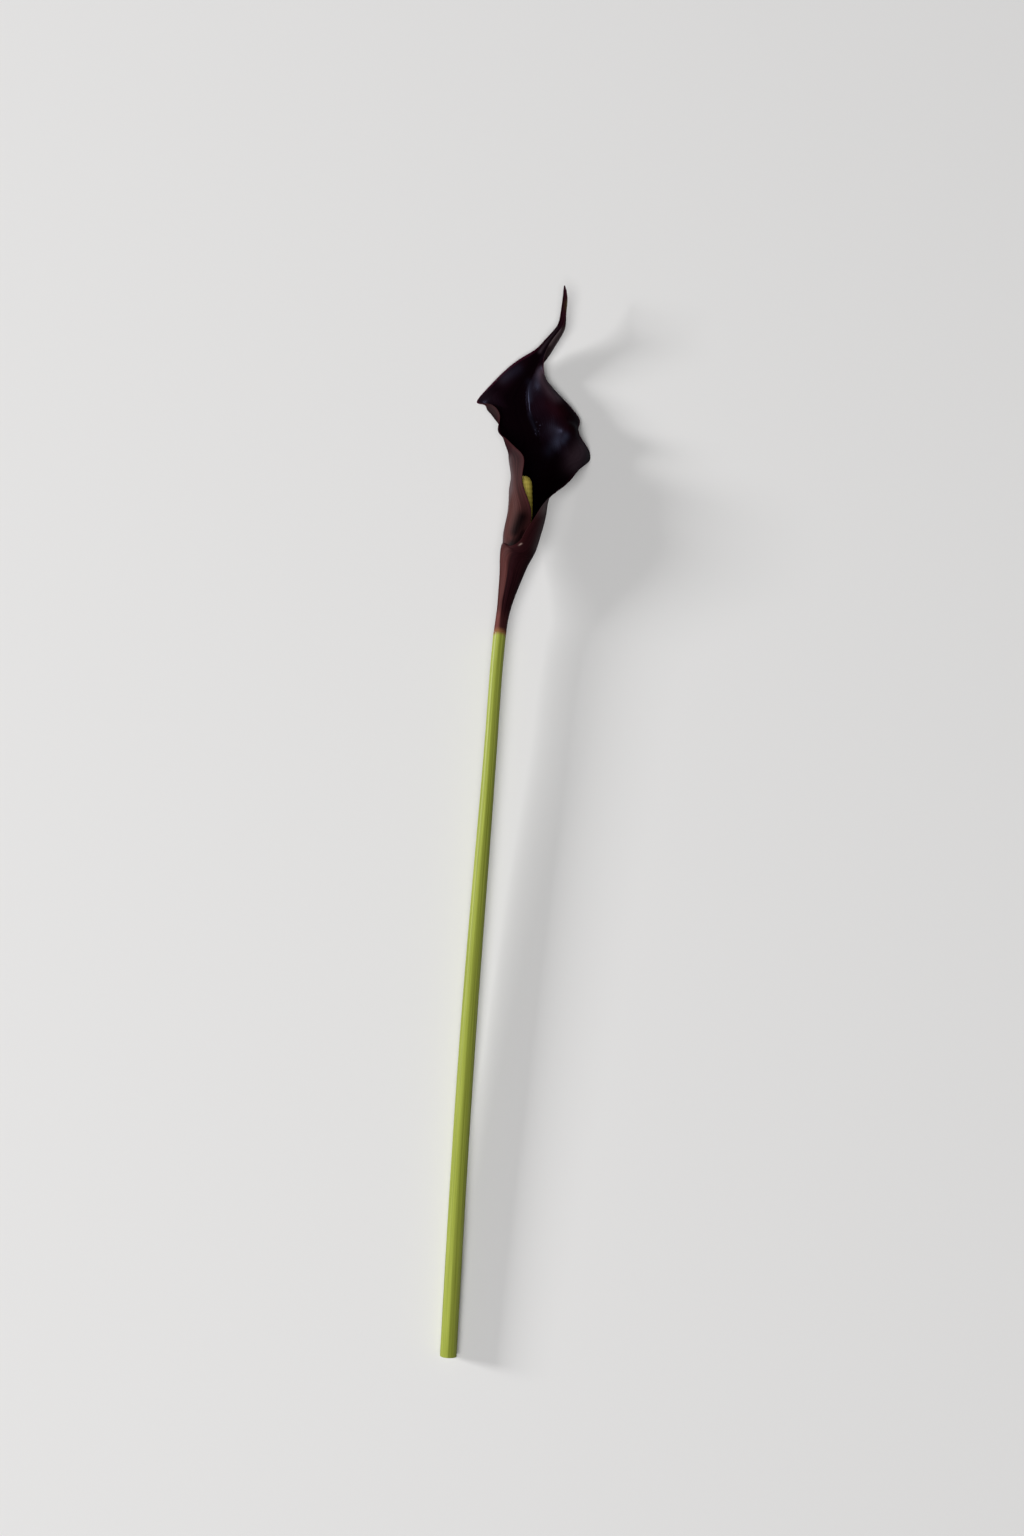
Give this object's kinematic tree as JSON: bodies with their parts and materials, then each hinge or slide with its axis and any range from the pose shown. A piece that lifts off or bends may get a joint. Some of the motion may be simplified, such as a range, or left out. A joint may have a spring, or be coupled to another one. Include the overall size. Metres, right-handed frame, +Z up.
{
  "type": "calla lily flower",
  "caption": "Cut calla lily flower lying on its back: round green stem, rolled burgundy spathe with waved lobes and a twisted tail, and an olive beaded spadix inside.",
  "frame": {"origin": "middle of the bounding box's bottom, on the surface that the flower lies on", "axes": "+Y along the flower from its cut end to its tail, +Z up off the surface, out of the open front of the spathe, +X to the right as seen from above with the tail away from the viewer"},
  "size_m": [0.0834, 0.5904, 0.027],
  "materials": {
    "stem": null,
    "spathe": null,
    "spadix": null
  },
  "bodies": {
    "root": {"stem": "stem", "spathe": "spathe", "spadix": "spadix"}
  },
  "joints": []
}
